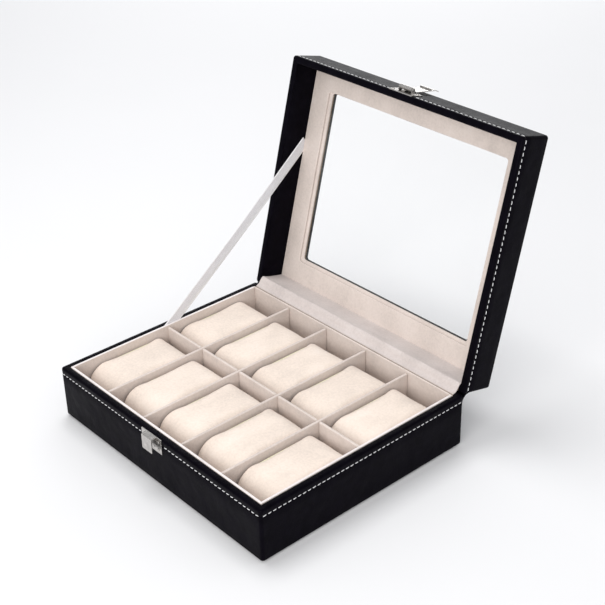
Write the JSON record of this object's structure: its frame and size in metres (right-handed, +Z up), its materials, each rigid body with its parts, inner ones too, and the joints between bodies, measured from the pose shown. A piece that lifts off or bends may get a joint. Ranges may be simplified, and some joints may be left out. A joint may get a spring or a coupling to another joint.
{
  "type": "watch box",
  "caption": "Leather-covered watch box with a windowed hinged lid, velvet-lined compartments, lift-out pillows, a ribbon stay and a front latch.",
  "frame": {"origin": "centre of the base's underside, on the surface it stands on", "axes": "+X to the right seen from the front, +Y from the front to the hinge at the back, +Z up"},
  "size_m": [0.2506, 0.3004, 0.2484],
  "materials": {
    "black_leather": "fine-grained, satin",
    "board": "raw fibreboard",
    "beige_velvet": "short-pile velvet",
    "cream_velvet": "short-pile velvet",
    "pillow_foam": "open-cell foam",
    "black_felt": "pressed felt",
    "nickel": "bright nickel plate",
    "clear_pane": "clear, polished",
    "white_thread": "twisted thread",
    "white_ribbon": "sheer woven ribbon"
  },
  "bodies": {
    "base": {"bottom_felt": "black_felt", "bottom_board": "board", "base_front_board": "board", "base_back_board": "board", "base_left_board": "board", "base_right_board": "board", "base_leather": "black_leather", "base_stitching": "white_thread", "floor_lining": "beige_velvet", "front_lining": "beige_velvet", "back_lining": "beige_velvet", "left_lining": "beige_velvet", "right_lining": "beige_velvet", "long_divider": "beige_velvet", "cross_divider_1": "beige_velvet", "cross_divider_2": "beige_velvet", "cross_divider_3": "beige_velvet", "cross_divider_4": "beige_velvet", "catch_plate": "nickel", "catch_nails": "nickel", "base_hinge_velvet": "beige_velvet", "base_hinge_leather": "black_leather", "ribbon_stay": "white_ribbon"},
    "lid": {"lid_frame_board": "board", "lid_front_board": "board", "lid_back_board": "board", "lid_left_board": "board", "lid_right_board": "board", "lid_leather": "black_leather", "lid_stitching": "white_thread", "window_pane": "clear_pane", "pane_retainer": "beige_velvet", "lid_lining_panel": "beige_velvet", "lid_hinge_velvet": "beige_velvet", "lid_hinge_leather": "black_leather", "hasp_plate": "nickel", "hasp_nails": "nickel", "hasp_pin": "nickel"},
    "hasp": {"hasp_lever": "nickel"},
    "pillow_1": {"pillow_cover_1": "cream_velvet", "pillow_core_1": "pillow_foam"},
    "pillow_2": {"pillow_cover_2": "cream_velvet", "pillow_core_2": "pillow_foam"},
    "pillow_3": {"pillow_cover_3": "cream_velvet", "pillow_core_3": "pillow_foam"},
    "pillow_4": {"pillow_cover_4": "cream_velvet", "pillow_core_4": "pillow_foam"},
    "pillow_5": {"pillow_cover_5": "cream_velvet", "pillow_core_5": "pillow_foam"},
    "pillow_6": {"pillow_cover_6": "cream_velvet", "pillow_core_6": "pillow_foam"},
    "pillow_7": {"pillow_cover_7": "cream_velvet", "pillow_core_7": "pillow_foam"},
    "pillow_8": {"pillow_cover_8": "cream_velvet", "pillow_core_8": "pillow_foam"},
    "pillow_9": {"pillow_cover_9": "cream_velvet", "pillow_core_9": "pillow_foam"},
    "pillow_10": {"pillow_cover_10": "cream_velvet", "pillow_core_10": "pillow_foam"}
  },
  "joints": [
    {"name": "lid_hinge", "type": "hinge", "parent": "base", "child": "lid", "pos_m": [0, 0.1025, 0.04665], "axis": [-1, 0, 0], "range_deg": [-104.5, 0], "deforming": ["ribbon_stay"]},
    {"name": "hasp_swing", "type": "hinge", "parent": "lid", "child": "hasp", "pos_m": [0, 0.16262, 0.24657], "axis": [-1, 0, 0], "range_deg": [-176, 0]},
    {"name": "pillow_lift_1", "type": "slide", "parent": "base", "child": "pillow_1", "axis": [0, 0, 1], "range_m": [0, 0.09]},
    {"name": "pillow_lift_2", "type": "slide", "parent": "base", "child": "pillow_2", "axis": [0, 0, 1], "range_m": [0, 0.09]},
    {"name": "pillow_lift_3", "type": "slide", "parent": "base", "child": "pillow_3", "axis": [0, 0, 1], "range_m": [0, 0.09]},
    {"name": "pillow_lift_4", "type": "slide", "parent": "base", "child": "pillow_4", "axis": [0, 0, 1], "range_m": [0, 0.09]},
    {"name": "pillow_lift_5", "type": "slide", "parent": "base", "child": "pillow_5", "axis": [0, 0, 1], "range_m": [0, 0.09]},
    {"name": "pillow_lift_6", "type": "slide", "parent": "base", "child": "pillow_6", "axis": [0, 0, 1], "range_m": [0, 0.09]},
    {"name": "pillow_lift_7", "type": "slide", "parent": "base", "child": "pillow_7", "axis": [0, 0, 1], "range_m": [0, 0.09]},
    {"name": "pillow_lift_8", "type": "slide", "parent": "base", "child": "pillow_8", "axis": [0, 0, 1], "range_m": [0, 0.09]},
    {"name": "pillow_lift_9", "type": "slide", "parent": "base", "child": "pillow_9", "axis": [0, 0, 1], "range_m": [0, 0.09]},
    {"name": "pillow_lift_10", "type": "slide", "parent": "base", "child": "pillow_10", "axis": [0, 0, 1], "range_m": [0, 0.09]}
  ]
}
